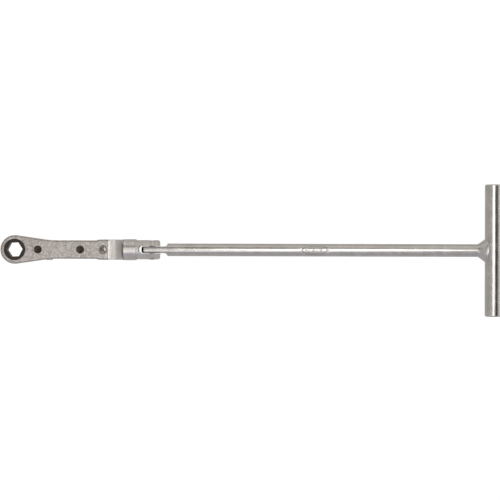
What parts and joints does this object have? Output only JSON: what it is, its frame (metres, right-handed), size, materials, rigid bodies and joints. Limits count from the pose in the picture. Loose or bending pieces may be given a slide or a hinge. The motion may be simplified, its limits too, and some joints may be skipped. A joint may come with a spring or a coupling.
{
  "type": "ratcheting t-handle ring wrench",
  "caption": "Long T-handle wrench with a reversible ratcheting hexagon ring on a head that bends two ways, for nuts behind basins and in deep recesses.",
  "frame": {"origin": "on the ring's axis, half way through the head's thickness", "axes": "+X from the ring along the rod to the T-bar, +Y across the ring in its own plane and along the T-bar, +Z out of the head's upper face, the one with the rivets' heads"},
  "size_m": [0.4739, 0.125, 0.0204],
  "materials": {
    "plated_forging": "blasted forging with satin nickel plate, fine grain",
    "plated_steel": "turned steel with satin nickel plate",
    "plated_bar": "drawn bar with satin nickel plate",
    "black_steel": "blackened hardened steel, slight oil sheen",
    "spring_wire": "drawn spring wire"
  },
  "bodies": {
    "handle": {"rod": "plated_steel", "t_bar": "plated_bar", "weld_bead": "plated_steel"},
    "link": {"joint_link": "plated_steel", "rod_pivot_pin": "plated_steel"},
    "head": {"ring_body": "plated_forging", "thrust_washer": "plated_steel", "snap_ring": "black_steel", "pawl_pin": "black_steel", "spring_stop_pin": "black_steel", "head_pivot_pin": "black_steel", "detent_spring": "spring_wire"},
    "wheel": {"ratchet_wheel": "black_steel"},
    "pawl": {"pawl": "black_steel"},
    "selector": {"reversing_pin": "plated_steel"},
    "plunger": {"detent_plunger": "plated_steel"}
  },
  "joints": [
    {"name": "rod_pivot", "type": "hinge", "parent": "handle", "child": "link", "pos_m": [0.1292, 0, 0], "axis": [0, 1, 0], "range_deg": [-90, 90]},
    {"name": "head_pivot", "type": "hinge", "parent": "link", "child": "head", "pos_m": [0.0832, 0, 0], "axis": [0, 0, 1], "range_deg": [-90, 90]},
    {"name": "ratchet", "type": "hinge", "parent": "head", "child": "wheel", "pos_m": [0, 0, 0], "axis": [0, 0, 1], "continuous": true},
    {"name": "pawl_pivot", "type": "hinge", "parent": "head", "child": "pawl", "pos_m": [0.0219, 0, 0], "axis": [0, 0, 1], "range_deg": [0, 6]},
    {"name": "selector_slide", "type": "slide", "parent": "head", "child": "selector", "axis": [0, 1, 0], "range_m": [0, 0.00109]},
    {"name": "detent_slide", "type": "slide", "parent": "head", "child": "plunger", "axis": [1, 0, 0], "range_m": [0, 0.0006], "stiffness_N_per_m": 400, "deforming": ["detent_spring"]}
  ],
  "couplings": [
    {"joint": "pawl_pivot", "follows": "selector_slide", "rad_per_m": 96.188}
  ]
}
